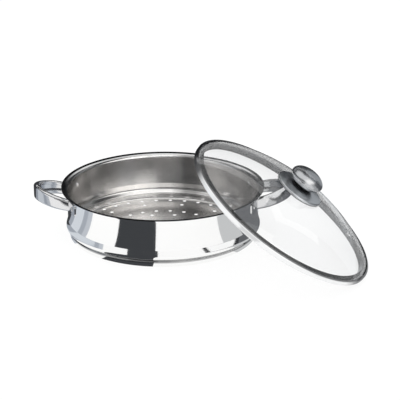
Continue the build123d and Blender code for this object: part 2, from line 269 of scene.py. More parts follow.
class HandleSizes(bpy.types.PropertyGroup):
    """Strap handles, their tabs and rivets."""

    sheet: length("Strap sheet", "Thickness of the strap", 1.0)
    reach: length("Reach", "How far the loop stands out of the wall", 42.0)
    half_width: length("Half width", "Half the loop's width at the wall", 32.0)
    base_middle: length("Base height", "Height of the strap's middle at the wall", 48.2)
    rise: length("Rise", "How far the strap climbs to its nose", 9.4)
    wall_height: length("Height at wall", "Height of the strap at the wall", 15.6)
    nose_height: length("Height at nose", "Height of the strap at its nose", 19.4)
    depth: length("Depth", "Depth of the curled section", 6.2)
    edge_bend: length("Edge bend", "Bend of the strap's long edges", 3.0)
    lip_bend: length("Lip bend", "Bend of the curled lips", 1.4)
    lip: length("Lip", "Length of the curled lips", 4.0)
    weld_gap: length("Tab gap", "Clearance between tab and wall", 0.05)
    tab_height: length("Tab height", "Height of the flat tabs", 13.8)
    tab_corner: length("Tab corner", "Corner radius of the tabs", 3.5)
    tab_far_turn: angle("Tab end", "Angle from the handle's middle to the tab's end", 26.5)
    rivet_turn: angle("Rivet turn", "Angle from the handle's middle to its rivets", 22.0)
    shank_radius: length("Rivet shank", "Radius of the rivets", 1.9)
    outer_head_radius: length("Outer head", "Radius of the rivets' outer heads", 2.6)
    inner_head_radius: length("Inner head", "Radius of the rivets' inner heads", 3.3)
    head_height: length("Head height", "Height of the rivets' heads", 1.0)
    seat_gap: length("Seat gap", "Clearance under the rivets' heads", 0.03)


class LidSizes(bpy.types.PropertyGroup):
    """Glass, band, seal and vent of the lid, in its own frame: heights from the band's seat."""

    tilt: angle("Tilt", "Lean of the lid's axis from upright", 34.5)
    turn: angle("Turn", "Direction that the lid leans to, from +X", -12.0)
    glass: length("Glass", "Thickness of the glass", 3.0)
    dome_radius: length("Dome radius", "Outside radius of the glass's sphere", 250.0)
    screw_hole_radius: length("Screw hole", "Radius of the hole in the middle", 3.4)
    edge_rounding: length("Edge rounding", "Rounding of the glass's edge", 0.6)
    band_sheet: length("Band sheet", "Thickness of the band", 0.4)
    band_radius: length("Band radius", "Outside radius of the band", 124.0)
    band_lap: length("Band lap", "How far the band's lip reaches over the glass", 1.6)
    fold_bend: length("Fold bend", "Bends at the top and foot of the band's wall", 0.5)
    seat_bend: length("Seat bend", "Bend between seat and locating ring", 0.4)
    locating_radius: length("Locating radius", "Outside radius of the ring that sits in the pot", 116.6)
    locating_depth: length("Locating depth", "Depth of that ring below the seat", 4.0)
    locating_width: length("Locating width", "Width of that ring", 2.4)
    locating_bend: length("Locating bend", "Bends at the ring's foot", 0.8)
    seal: length("Seal", "Thickness of the seal", 0.3)
    seal_gap: length("Seal gap", "Clearance on each side of the seal", 0.05)
    seal_play: length("Seal play", "Further room between seal and band", 0.1)
    seal_lap: length("Seal lap", "How far the seal reaches over the glass", 1.2)
    seal_bend: length("Seal bend", "Bends of the seal's channel", 0.25)
    vent_radius: length("Vent radius", "From the lid's axis to the vent", 82.8)
    vent_turn: angle("Vent turn", "Direction of the vent in the lid's frame", 9.0)
    vent_hole_radius: length("Vent hole", "Radius of the hole in the glass", 3.2)
    eyelet_radius: length("Eyelet radius", "Outside radius of the eyelet's tube", 3.1)
    eyelet_bore: length("Eyelet bore", "Inside radius of the eyelet", 1.8)
    eyelet_flange_radius: length("Eyelet flange", "Radius of the eyelet's flange", 4.8)
    eyelet_flange: length("Eyelet flange height", "Height of the eyelet's flange", 0.7)
    collar_radius: length("Collar radius", "Outside radius of the collar", 4.6)
    collar: length("Collar", "Height of the collar", 0.8)
    eyelet_tail: length("Eyelet tail", "Length of the tube below the collar", 0.4)
    collar_gap: length("Collar gap", "Clearance between eyelet and collar", 0.02)
    vent_gap: length("Vent gap", "Clearance between glass and vent", 0.06)


class KnobSizes(bpy.types.PropertyGroup):
    """Knob on the lid: heights from the top of the glass."""

    skirt_radius: length("Skirt radius", "Radius of the bell-shaped skirt", 29.8)
    bell_sheet: length("Bell sheet", "Thickness of the skirt", 0.8)
    edge_height: length("Edge height", "Height of the skirt's upright edge", 1.0)
    crown_radius: length("Crown radius", "Radius of the skirt's flat crown", 11.0)
    crown_height: length("Crown height", "Height of the skirt's crown", 5.6)
    edge_bend: length("Edge bend", "Bend at the skirt's edge", 1.2)
    crown_bend: length("Crown bend", "Bend at the skirt's crown", 5.0)
    gasket: length("Gasket", "Height of the gasket under the skirt", 0.9)
    cap_radius: length("Cap radius", "Half the width of the knob's head", 20.8)
    cap_half_height: length("Cap half height", "Half the height of the knob's head", 10.8)
    cap_middle: length("Cap middle", "Height of the head's middle", 15.4)
    cap_sheet: length("Cap sheet", "Thickness of the head's shell", 0.8)
    mouth_radius: length("Mouth radius", "Radius of the head's open underside", 15.0)
    core_gap: length("Core gap", "Clearance between head and core", 0.08)
    shoulder_radius: length("Shoulder radius", "Radius of the core on the skirt's crown", 9.5)
    stem_radius: length("Stem radius", "Radius of the core's stem", 5.5)
    stem_gap: length("Stem gap", "Clearance of the stem in the skirt", 0.1)
    stem_gasket: length("Stem gasket", "Height of the gasket under the stem", 0.9)
    stack_gap: length("Stack gap", "Clearance between stacked pieces", 0.02)


class Finishes(bpy.types.PropertyGroup):
    """Colours of the finishes."""

    polished: colour("Polished steel", "Outside of the pot", (0.97, 0.97, 0.965, 1.0))
    brushed: colour("Brushed steel", "Inside of the pot", (1.0, 0.985, 0.97, 1.0))
    handle: colour("Handle steel", "Strap handles", (0.78, 0.78, 0.785, 1.0))
    band: colour("Band steel", "Band round the glass", (0.98, 0.985, 0.99, 1.0))
    knob: colour("Knob steel", "Head of the knob", (0.6, 0.61, 0.625, 1.0))
    spun: colour("Spun steel", "Skirt under the knob", (0.7, 0.72, 0.74, 1.0))
    glass: colour("Glass", "Lid's glass", (0.99, 0.994, 0.996, 1.0))
    silicone: colour("Silicone", "Seal and gaskets", (0.07, 0.072, 0.076, 1.0))
    plastic: colour("Plastic", "Core of the knob", (0.02, 0.02, 0.022, 1.0))
    brass: colour("Brass", "Insert in the knob", (0.72, 0.52, 0.24, 1.0))


class StageSettings(bpy.types.PropertyGroup):
    """Camera, light and floor."""

    camera_back: length("Camera back", "How far the camera is in front of the pot's axis", 1599.0)
    camera_up: length("Camera up", "Height of the camera", 640.0)
    camera_pitch: angle("Camera pitch", "How far the camera looks down", 20.5)
    camera_yaw: angle("Camera yaw", "How far the camera looks to +X", 1.67)
    light_level: FloatProperty(name="Light level", description="Strength of the room's light", default=1.0)
    floor_size: length("Floor size", "Side of the floor", 24000.0)
    floor_glow: share("Floor glow", "Share of the floor that shows as plain white", 0.86)


SETTINGS = {
    "steamer_pot": PotSizes,
    "steamer_handles": HandleSizes,
    "steamer_lid": LidSizes,
    "steamer_knob": KnobSizes,
    "steamer_finishes": Finishes,
    "steamer_stage": StageSettings,
}


class Value:
    """A socket whose sums, products and the like add Math nodes."""

    def __init__(self, graph, socket):
        self.graph = graph
        self.socket = socket

    def math(self, operation, *others, swapped=False):
        """Math node on this value and others."""
        terms = [self, *others]
        if swapped:
            terms.reverse()
        node = self.graph.node("ShaderNodeMath", {"operation": operation}, dict(enumerate(terms)))
        return self.graph.out(node)

    def __add__(self, other):
        return self.math("ADD", other)

    def __sub__(self, other):
        return self.math("SUBTRACT", other)

    def __rsub__(self, other):
        return self.math("SUBTRACT", other, swapped=True)

    def __mul__(self, other):
        return self.math("MULTIPLY", other)

    def __truediv__(self, other):
        return self.math("DIVIDE", other)

    def __pow__(self, other):
        return self.math("POWER", other)

    __radd__ = __add__
    __rmul__ = __mul__


class Graph:
    """Adds nodes to a node tree: settings first, then the values or links of the sockets."""

    def __init__(self, tree):
        self.tree = tree

    def node(self, kind, settings=None, values=None):
        """One node of any kind."""
        made = self.tree.nodes.new(kind)
        for name, value in (settings or {}).items():
            if name == "stops":
                self.set_stops(made.color_ramp, value)
            else:
                setattr(made, name, value)
        for key, value in (values or {}).items():
            self.feed(made.inputs[key], value)
        return made

    def feed(self, socket, value):
        """Link a value to a socket, or set the socket to a plain one."""
        if isinstance(value, Value):
            self.tree.links.new(value.socket, socket)
        else:
            socket.default_value = value

    @staticmethod
    def set_stops(ramp, stops):
        """Stops of a colour ramp, as (place, tone) pairs."""
        while len(ramp.elements) > 1:
            ramp.elements.remove(ramp.elements[-1])
        for index, (place, tone) in enumerate(stops):
            stop = ramp.elements[0] if index == 0 else ramp.elements.new(place)
            stop.position = place
            stop.color = (tone, tone, tone, 1)

    def out(self, node, key=0):
        """One output of a node as a value."""
        return Value(self, node.outputs[key])

    def make(self, kind, settings=None, values=None, key=0):
        """One node's output as a value."""
        return self.out(self.node(kind, settings, values), key)

    def mix(self, factor, first, second):
        """Colour between two colours."""
        node = self.node("ShaderNodeMix", {"data_type": "RGBA"})
        colours = [socket for socket in node.inputs if socket.type == "RGBA"]
        for socket, value in zip([node.inputs[0], *colours], [factor, first, second]):
            self.feed(socket, value)
        return Value(self, next(socket for socket in node.outputs if socket.type == "RGBA"))


class Finish(Graph):
    """A procedural material in the frame of the piece that it is on."""

    def __init__(self, name, place=None):
        self.material = bpy.data.materials.new(name)
        self.material.use_nodes = True
        super().__init__(self.material.node_tree)
        self.shader = next(n for n in self.tree.nodes if n.type == "BSDF_PRINCIPLED")
        coordinates = self.make("ShaderNodeTexCoord", key="Object")
        inverse = (place or Matrix.Identity(4)).inverted()
        mapping = {
            "Vector": coordinates,
            "Location": inverse.to_translation(),
            "Rotation": inverse.to_euler(),
        }
        self.point = self.make("ShaderNodeMapping", {"vector_type": "POINT"}, mapping)
        self.across, self.along, self.up = self.split(self.point)
        self.radius = (self.across**2 + self.along**2) ** 0.5

    def split(self, vector):
        """X, Y and Z of a vector as values."""
        node = self.node("ShaderNodeSeparateXYZ", values={0: vector})
        return [self.out(node, axis) for axis in range(3)]

    def join(self, x, y, z):
        """Vector from three values."""
        return self.make("ShaderNodeCombineXYZ", values={0: x, 1: y, 2: z})

    def noise(self, vector, scale, detail=2.0, roughness=0.5):
        """Soft noise from 0 to 1."""
        values = {"Vector": vector, "Scale": scale, "Detail": detail, "Roughness": roughness}
        return self.make("ShaderNodeTexNoise", values=values, key=0)

    def ramp(self, value, stops):
        """Value led through the stops of a ramp."""
        return self.make("ShaderNodeValToRGB", {"stops": stops}, {"Fac": value})

    def fade(self, value, ends, origin=0.0):
        """Share that goes from 0 to 1 while a value goes from one end to the other."""
        low, high = ends
        values = {"Value": value, "From Min": origin + low, "From Max": origin + high}
        return self.make("ShaderNodeMapRange", values=values)

    def bump(self, height, distance):
        """Surface normal raised by a height from 0 to 1."""
        values = {"Height": height, "Distance": distance, "Strength": 1.0}
        return self.make("ShaderNodeBump", values=values)

    def finish(self, **sockets):
        """Set or link the shader's sockets, named with underscores for spaces."""
        for name, value in sockets.items():
            self.feed(self.shader.inputs[name.replace("_", " ")], value)
        return self.material


# Finishes


def scaled(tone, factor):
    """Colour with its channels scaled."""
    return tuple(channel * factor for channel in tone[:3]) + (1.0,)


def polished_steel(name, tone, place=None, roughness=0.05, painted_dark=None, pale=None):
    """Bright steel, slightly uneven. One optional function gives the share painted dark as a painted
    reflection and shade, the other the share made milky and less metallic as a painted pale reflection.
    """
    steel = Finish(name, place)
    haze = steel.noise(steel.point, scale=38.0, detail=3.0)
    soft = steel.noise(steel.point, scale=9.0, detail=1.0)
    base = steel.mix(soft, scaled(tone, 0.97), tuple(tone))
    # Painted dark reflection and shade mixed into the colour
    if painted_dark:
        base = steel.mix(painted_dark(steel), base, PAINTED_DARK_TONE)
    return steel.finish(
        Base_Color=base,
        # Less metal where the painted pale reflection is
        Metallic=1.0 - pale(steel) * PAINTED_PALE_SHARE if pale else 1.0,
        Roughness=roughness + haze * 0.04,
        Normal=steel.bump(soft, 0.04 * MM),
    )


def outside_painted_dark(pot):
    """Function for the share of painted dark reflection on the outside: its rim, wider on the right, and
    painted grey shade at the neck.
    """
    bead = pot.height - pot.bead_radius
    neck = pot.neck_height

    def painted_dark(steel):
        """Dark share at a place."""
        right = steel.fade(steel.across, OUTER_RIGHT_FADE)
        rim = steel.fade(steel.up + right * OUTER_RIGHT_WIDER, RIM_FADE, bead)
        over_foot = steel.fade(steel.up, NECK_FOOT_FADE, neck)
        over_neck = steel.fade(steel.up, NECK_TOP_FADE, neck)
        return rim + over_foot * (1.0 - over_neck) * NECK_DARK

    return painted_dark


def band_painted_dark(lid):
    """Function for the share of painted dark on the band: painted shade inside its ring, and painted dark
    reflection on its lip, far side and high end.
    """
    ring_middle = lid.locating_radius - lid.locating_width / 2
    wall = lid.band_radius - lid.band_sheet

    def painted_dark(steel):
        """Dark share at a place."""
        in_ring = 1.0 - steel.fade(steel.radius, RING_FADE, ring_middle)
        on_wall = steel.fade(steel.radius, BAND_WALL_FADE, wall)
        lip = steel.fade(steel.up, LIP_FADE) * (1.0 - on_wall)
        far = steel.fade(steel.along * FAR_ALONG + steel.across * FAR_ACROSS, FAR_FADE)
        high_end = 1.0 - steel.fade(steel.across, HIGH_END_FADE)
        ends = far.math("MAXIMUM", high_end)
        return in_ring.math("MAXIMUM", lip * LIP_DARK).math("MAXIMUM", ends * FAR_DARK)

    return painted_dark


def painted_front_reflection(steel):
    """Share of the band painted as a pale reflection: its side towards the camera, made milky and less
    metallic.
    """
    return 1.0 - steel.fade(steel.along, FRONT_FADE)


def inside_painted_reflection(steel, turn, on_wall):
    """Painted reflection bands round the wall, mottled, and an even floor."""
    bands = steel.ramp(turn / (2 * math.pi) + 0.5, INSIDE_BAND_SHARES)
    shine = steel.noise(steel.point, scale=55.0, detail=3.0)
    cloud = steel.noise(steel.join(turn * CLOUDS_ROUND, steel.up * CLOUDS_UP, 0.0), scale=1.0)
    bands = bands * (EVEN_SHARE + cloud * MOTTLE_SHARE + shine * MOTTLE_SHARE)
    return bands * on_wall + (1.0 - on_wall) * FLOOR_BRIGHT


def brushed_steel(name, tone, pot):
    """Inside of the pot: brushed round the axis, with painted reflection bands, a painted highlight on the
    flare at the back and a painted dark reflection on the bead.
    """
    steel = Finish(name)
    turn = steel.make("ShaderNodeMath", {"operation": "ARCTAN2"}, {0: steel.along, 1: steel.across})
    on_wall = steel.fade(steel.up, WALL_FADE)
    ring_place = steel.radius + (steel.up - steel.radius) * on_wall
    brushing = steel.join(ring_place * BRUSH_LINES, turn * BRUSH_ROUND, 0.0)
    lines = steel.noise(brushing, scale=1.0, detail=3.0, roughness=0.7)
    bead = pot.height - pot.bead_radius
    back = steel.fade(steel.along, BACK_FADE)
    right = steel.fade(steel.across, INNER_RIGHT_FADE)
    # Painted highlight on the flare at the back, and painted dark reflection on the front flare and the
    # bead's edge
    flare_highlight = steel.fade(steel.up, FLARE_FADE, bead) * back
    lifted = steel.up + right * INNER_RIGHT_WIDER
    front_dark_reflection = steel.fade(lifted, FLARE_FADE, bead) * (1.0 - back)
    edge = steel.fade(steel.up, EDGE_FADE, bead)
    # Painted reflection bands mixed into the colour
    base = steel.mix(inside_painted_reflection(steel, turn, on_wall), scaled(tone, 0.3), tuple(tone))
    base = steel.mix(flare_highlight, base, PAINTED_FLARE_HIGHLIGHT)
    base = steel.mix(front_dark_reflection.math("MAXIMUM", edge), base, PAINTED_DARK_RIM_TONE)
    return steel.finish(
        Base_Color=base,
        Metallic=1.0 - flare_highlight * (1.0 - edge) * FLARE_HIGHLIGHT_SHARE,
        Roughness=0.16 + lines * 0.1,
        Normal=steel.bump(lines, 0.015 * MM),
    )


def spun_steel(name, tone, place, roughness, groove):
    """Metal turned about the knob's axis, with fine rings."""
    steel = Finish(name, place)
    turned = steel.join(steel.radius * SPUN_RINGS, steel.up * SPUN_RINGS, 0.0)
    rings = steel.noise(turned, scale=1.0, roughness=0.6)
    cloud = steel.noise(steel.point, scale=60.0)
    return steel.finish(
        Base_Color=steel.mix(rings, scaled(tone, 0.85), tuple(tone)),
        Metallic=1.0,
        Roughness=roughness + cloud * 0.06,
        Normal=steel.bump(rings, groove),
    )


def clear_glass(name, tone, place):
    """Tempered glass, faintly uneven as moulded glass is."""
    glass = Finish(name, place)
    wave = glass.noise(glass.point, scale=16.0, detail=1.0)
    return glass.finish(
        Base_Color=glass.mix(wave, scaled(tone, 0.985), tuple(tone)),
        Roughness=0.0,
        IOR=1.5,
        Specular_IOR_Level=0.3,
        Transmission_Weight=1.0,
        Normal=glass.bump(wave, 0.05 * MM),
    )


def soft_silicone(name, tone, place):
    """Dark silicone with a fine grain."""
    soft = Finish(name, place)
    grain = soft.noise(soft.point, scale=900.0)
    return soft.finish(
        Base_Color=soft.mix(grain, scaled(tone, 0.85), tuple(tone)),
        Roughness=0.45 + grain * 0.15,
        Normal=soft.bump(grain, 0.02 * MM),
    )


def moulded_plastic(name, tone, place):
    """Black moulded plastic with a fine spark grain."""
    moulded = Finish(name, place)
    grain = moulded.noise(moulded.point, scale=1400.0)
    return moulded.finish(
        Base_Color=moulded.mix(grain, tuple(tone), scaled(tone, 1.6)),
        Roughness=0.4 + grain * 0.2,
        Normal=moulded.bump(grain, 0.03 * MM),
    )


# Outlines


def rounded(points, bends):
    """Line through the points with each inner corner rounded to its bend."""
    line = [Vector(points[0])]
    for before, corner, after, bend in zip(points, points[1:], points[2:], bends):
        corner = Vector(corner)
        back = (Vector(before) - corner).normalized()
        on = (Vector(after) - corner).normalized()
        half = back.angle(on) / 2
        middle = corner + (back + on).normalized() * bend / math.sin(half)
        start = corner + back * bend / math.tan(half) - middle
        swing = -back.angle_signed(on)
        sweep = math.copysign(math.pi - abs(swing), -swing)
        steps = max(2, math.ceil(abs(sweep) / BEND_STEP))
        for step in range(steps + 1):
            turned = Matrix.Rotation(sweep * step / steps, 2) @ start
            line.append(middle + turned)
    line.append(Vector(points[-1]))
    return line


def arc(centre, radius, start, end):
    """Points of an arc, its angles from +X in radians."""
    steps = max(2, math.ceil(abs(end - start) / BEND_STEP))
    turns = [start + (end - start) * step / steps for step in range(steps + 1)]
    return [Vector(centre) + radius * Vector((math.cos(turn), math.sin(turn))) for turn in turns]


def side_normals(line):
    """Left-hand normal at each point of a line."""
    runs = [(b - a).normalized() for a, b in zip(line, line[1:])]
    normals = []
    for before, after in zip([runs[0], *runs], [*runs, runs[-1]]):
        run = (before + after).normalized()
        normals.append(Vector((-run.y, run.x)))
    return normals


def heading(vector):
    """Angle of a vector from +X."""
    return math.atan2(vector.y, vector.x)


def sheet_sides(line, half):
    """The two faces of a sheet whose middle is the line: left and right of it."""
    normals = side_normals(line)
    left = [point + normal * half for point, normal in zip(line, normals)]
    right = [point - normal * half for point, normal in zip(line, normals)]
    return left, right


def sheet_loop(line, half):
    """Closed outline of a sheet with rounded ends."""
    left, right = sheet_sides(line, half)
    start = heading(line[0] - line[1])
    end = heading(line[-1] - line[-2])
    quarter = math.pi / 2
    end_arc = arc(line[-1], half, end + quarter, end - quarter)[1:-1]
    start_arc = arc(line[0], half, start + quarter, start - quarter)[1:-1]
    return left + end_arc + right[::-1] + start_arc


def sphere_arc(centre_height, radius, start, end, steps):
    """Points over a dome's profile, from one distance from the axis to another."""
    points = []
    for step in range(steps + 1):
        out = start + (end - start) * step / steps
        points.append(Vector((out, centre_height + math.sqrt(radius**2 - out**2))))
    return points


# Meshes


def new_object(name, mesh):
    """Object in the scene for a mesh that is already in place."""
    made = bpy.data.objects.new(name, mesh)
    bpy.context.scene.collection.objects.link(made)
    return made


def smooth(mesh):
    """Smooth shading, with edges sharper than a crease kept sharp."""
    mesh.shade_smooth()
    mesh.set_sharp_from_angle(angle=CREASE_ANGLE)


def lathe(name, outline, segments, place=None, closed=True, outer_from=None):
    """Turn an outline of (radius, height) points about Z. Rows from outer_from on get material two."""
    mesh = bpy.data.meshes.new(name)
    work = bmesh.new()
    uv = work.loops.layers.uv.new("turned")
    rings = []
    for out, up in outline:
        if out < ON_AXIS:
            pole = work.verts.new((0, 0, up))
            rings.append([pole] * segments)
            continue
        turns = [2 * math.pi * index / segments for index in range(segments)]
        rings.append([work.verts.new((out * math.cos(t), out * math.sin(t), up)) for t in turns])
    count = len(outline)
    for row in range(count if closed else count - 1):
        lower = rings[row]
        upper = rings[(row + 1) % count]
        for index in range(segments):
            after = (index + 1) % segments
            corners = [lower[index], lower[after], upper[after], upper[index]]
            places = [(index, row), (index + 1, row), (index + 1, row + 1), (index, row + 1)]
            kept = [k for k in range(4) if corners[k] not in corners[:k]]
            if len(kept) < 3:
                continue
            face = work.faces.new([corners[k] for k in kept])
            face.material_index = int(outer_from is not None and row >= outer_from)
            for loop, k in zip(face.loops, kept):
                loop[uv].uv = (places[k][0] / segments, places[k][1] / count)
    bmesh.ops.recalc_face_normals(work, faces=work.faces)
    work.transform(place or Matrix.Identity(4))
    work.to_mesh(mesh)
    work.free()
    smooth(mesh)
    return new_object(name, mesh)


def evaluated(carrier, name):
    """Plain mesh object from one with a Geometry Nodes modifier, which is removed."""
    graph = bpy.context.evaluated_depsgraph_get()
    mesh = bpy.data.meshes.new_from_object(carrier.evaluated_get(graph))
    carrier.modifiers.clear()
    bpy.data.objects.remove(carrier)
    mesh.name = name
    return new_object(name, mesh)


def dress(piece, body, slot, nodes, *materials):
    """Give a finished piece its materials and body, and hide the CAD parts of the nodes that it stands
    for; the slot is not used.
    """
    faces = piece.data.polygons
    indices = [face.material_index for face in faces]
    piece.data.materials.clear()
    for material in materials:
        piece.data.materials.append(material)
    faces.foreach_set("material_index", indices)
    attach(piece, body)
    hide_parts(*nodes)
    return piece


# Geometry node trees


def new_tree(name, inputs):
    """Geometry Nodes tree with named inputs and one geometry output."""
    tree = bpy.data.node_groups.new(name, "GeometryNodeTree")
    for kind, label in inputs:
        tree.interface.new_socket(label, in_out="INPUT", socket_type=kind)
    tree.interface.new_socket("Geometry", in_out="OUTPUT", socket_type="NodeSocketGeometry")
    graph = Graph(tree)
    group = graph.node("NodeGroupInput")
    given = {label: graph.out(group, label) for _, label in inputs}
    return tree, graph, given


def close_tree(graph, geometry, material):
    """End a tree in Realize Instances and Set Material."""
    real = graph.make("GeometryNodeRealizeInstances", values={"Geometry": geometry})
    shown = graph.make("GeometryNodeSetMaterial", values={"Geometry": real, "Material": material})
    graph.node("NodeGroupOutput", values={"Geometry": shown})


def run_tree(name, tree, inputs):
    """Mesh object that a tree makes with these inputs, by name."""
    carrier = new_object(name + "_carrier", bpy.data.meshes.new(name))
    modifier = carrier.modifiers.new(name, "NODES")
    modifier.node_group = tree
    for item in tree.interface.items_tree:
        if item.in_out == "INPUT" and item.name in inputs:
            modifier[item.identifier] = inputs[item.name]
    return evaluated(carrier, name)


def hole_ring_tree():
    """Ring of round drills through the floor."""
    inputs = [
        ("NodeSocketFloat", "Ring Radius"),
        ("NodeSocketInt", "Holes"),
        ("NodeSocketFloat", "First Turn"),
        ("NodeSocketFloat", "Hole Radius"),
        ("NodeSocketFloat", "Depth"),
    ]
    tree, graph, given = new_tree("Ring of steam holes", inputs)
    circle = graph.make(
        "GeometryNodeMeshCircle", values={"Vertices": given["Holes"], "Radius": given["Ring Radius"]}
    )
    turn = graph.make("ShaderNodeCombineXYZ", values={"Z": given["First Turn"]})
    turned = graph.make("GeometryNodeTransform", values={"Geometry": circle, "Rotation": turn})
    drill = graph.make(
        "GeometryNodeMeshCylinder",
        values={"Vertices": HOLE_SEGMENTS, "Radius": given["Hole Radius"], "Depth": given["Depth"]},
    )
    placed = graph.make("GeometryNodeInstanceOnPoints", values={"Points": turned, "Instance": drill})
    real = graph.make("GeometryNodeRealizeInstances", values={"Geometry": placed})
    graph.node("NodeGroupOutput", values={"Geometry": real})
    return tree


def floor_tree(rings, material):
    """Perforated floor plate: a disc less rings of holes, as (radius, count, first turn)."""
    inputs = [
        ("NodeSocketFloat", "Floor Radius"),
        ("NodeSocketFloat", "Sheet"),
        ("NodeSocketFloat", "Hole Radius"),
        ("NodeSocketInt", "Segments"),
    ]
    tree, graph, given = new_tree("Perforated floor", inputs)
    plate = graph.make(
        "GeometryNodeMeshCylinder",
        values={"Vertices": given["Segments"], "Radius": given["Floor Radius"], "Depth": given["Sheet"]},
    )
    drills = graph.node("GeometryNodeJoinGeometry")
    ring_tree = hole_ring_tree()
    depth = given["Sheet"] * 3.0
    for radius, count, first_turn in rings:
        values = {
            "Ring Radius": radius,
            "Holes": count,
            "First Turn": first_turn,
            "Hole Radius": given["Hole Radius"],
            "Depth": depth,
        }
        ring = graph.make("GeometryNodeGroup", {"node_tree": ring_tree}, values)
        graph.feed(drills.inputs[0], ring)
    bored = graph.make(
        "GeometryNodeMeshBoolean",
        {"operation": "DIFFERENCE", "solver": "EXACT"},
        {"Mesh 1": plate, "Mesh 2": graph.out(drills)},
    )
    close_tree(graph, bored, material)
    return tree


def rivet_tree(rivet, material):
    """A rivet at each of the four handle tabs."""
    inputs = [
        ("NodeSocketFloat", "Height"),
        ("NodeSocketFloat", "Turn"),
    ]
    tree, graph, given = new_tree("Handle rivets", inputs)
    points = graph.make("GeometryNodePoints", values={"Count": RIVETS})
    index = graph.make("GeometryNodeInputIndex")
    second = index.math("MODULO", 2.0)
    side = (index - second) * 0.5
    turn = side * math.pi + (second * 2.0 - 1.0) * given["Turn"]
    up = graph.make("ShaderNodeCombineXYZ", values={"Z": given["Height"]})
    placed = graph.make("GeometryNodeSetPosition", values={"Geometry": points, "Position": up})
    rotation = graph.make("ShaderNodeCombineXYZ", values={"Y": math.pi / 2, "Z": turn})
    source = graph.make("GeometryNodeObjectInfo", values={"Object": rivet}, key="Geometry")
    put = graph.make(
        "GeometryNodeInstanceOnPoints",
        values={"Points": placed, "Instance": source, "Rotation": rotation},
    )
    close_tree(graph, put, material)
    return tree


# Pieces of the pot


def shell_line(pot):
    """Middle line of the drawn sheet from the floor's corner up to the bead, and the bead's centre."""
    half = pot.sheet / 2
    wall = pot.wall_radius + half
    skirt = pot.skirt_radius - half
    bead = Vector((pot.rim_radius - pot.bead_radius, pot.height - pot.bead_radius))
    points = [
        (skirt - pot.floor_corner * 2, half),
        (skirt, half),
        (skirt, pot.skirt_height),
        (skirt - pot.neck_depth, pot.neck_height),
        (wall + pot.bulge_reach, pot.bulge_height),
        (wall, pot.crease_height),
        (wall, bead.y - pot.flare_drop),
        bead,
    ]
    bends = [
        pot.floor_corner,
        pot.shoulder_bend,
        pot.neck_bend,
        pot.bulge_bend,
        pot.crease_bend,
        pot.flare_bend,
    ]
    return rounded(points, bends)


def shell_outline(pot):
    """Inside face, bead and outside face of the shell, and where the outside starts."""
    half = pot.sheet / 2
    line = shell_line(pot)
    inside, outside = sheet_sides(line, half)
    opening = math.asin(half / pot.bead_radius)
    back = heading(line[-2] - line[-1])
    bead = arc(line[-1], pot.bead_radius, back - opening, back - 2 * math.pi + opening)
    return inside[:-1] + bead + outside[-2::-1], len(inside) + len(bead) // 2


def hole_rings(pot):
    """Radius, count and first turn of each ring of steam holes."""
    return [
        (pot.ring_1, 36, math.radians(5.0)),
        (pot.ring_2, 12, math.radians(15.0)),
        (pot.ring_3, 24, math.radians(7.5)),
        (pot.ring_4, 12, math.radians(15.0)),
        (pot.ring_5, 12, 0.0),
        (pot.ring_6, 6, math.radians(30.0)),
    ]


def weld_floor(shell, floor, edge_radius):
    """Join the floor plate to the shell in one closed mesh, without the plate's own edge."""
    work = bmesh.new()
    work.from_mesh(floor.data)
    rim = [
        face
        for face in work.faces
        if all(abs(vert.co.xy.length - edge_radius) < ON_EDGE for vert in face.verts)
        and abs(face.normal.z) < LEVEL
    ]
    bmesh.ops.delete(work, geom=rim, context="FACES")
    for face in work.faces:
        face.material_index = int(face.normal.z < -LEVEL)
    work.from_mesh(shell.data)
    bmesh.ops.remove_doubles(work, verts=work.verts, dist=ONE_POINT)
    bmesh.ops.recalc_face_normals(work, faces=work.faces)
    work.to_mesh(shell.data)
    work.free()
    bpy.data.objects.remove(floor)
    smooth(shell.data)


def sampled_curve(points):
    """Function of a share from 0 to 1 that gives places on an even curve through the points."""
    table = np.array([tuple(point) for point in points])
    steps = np.linalg.norm(np.diff(table, axis=0), axis=1)
    knots = np.concatenate([[0.0], np.cumsum(steps)])
    count = len(table)
    system = np.zeros((count, count))
    given = np.zeros((count, 2))
    system[0, 0] = 1.0
    system[-1, -1] = 1.0
    for row in range(1, count - 1):
        before, after = steps[row - 1], steps[row]
        system[row, row - 1 : row + 2] = (before, 2 * (before + after), after)
        given[row] = 6 * (
            (table[row + 1] - table[row]) / after - (table[row] - table[row - 1]) / before
        )
    bend = np.linalg.solve(system, given)

    def place(share_along):
        """Place at a share of the way along."""
        along = share_along * knots[-1]
        row = min(int(np.searchsorted(knots, along, side="right")) - 1, count - 2)
        row = max(row, 0)
        span = steps[row]
        on = (along - knots[row]) / span
        off = 1 - on
        curve = (off**3 - off) * bend[row] + (on**3 - on) * bend[row + 1]
        return Vector(off * table[row] + on * table[row + 1] + curve * span**2 / 6)

    return place


def strap_outline(handle, height):
    """Closed section of the strap: outer face at 0, curled lips towards the inside of the loop."""
    half = handle.sheet / 2
    top = height / 2 - half
    inner = half - handle.depth
    points = [(inner, top - handle.lip), (inner, top), (-half, top)]
    points += [(x, -y) for x, y in reversed(points)]
    bends = [handle.lip_bend, handle.edge_bend, handle.edge_bend, handle.lip_bend]
    return sheet_loop(rounded(points, bends), half)


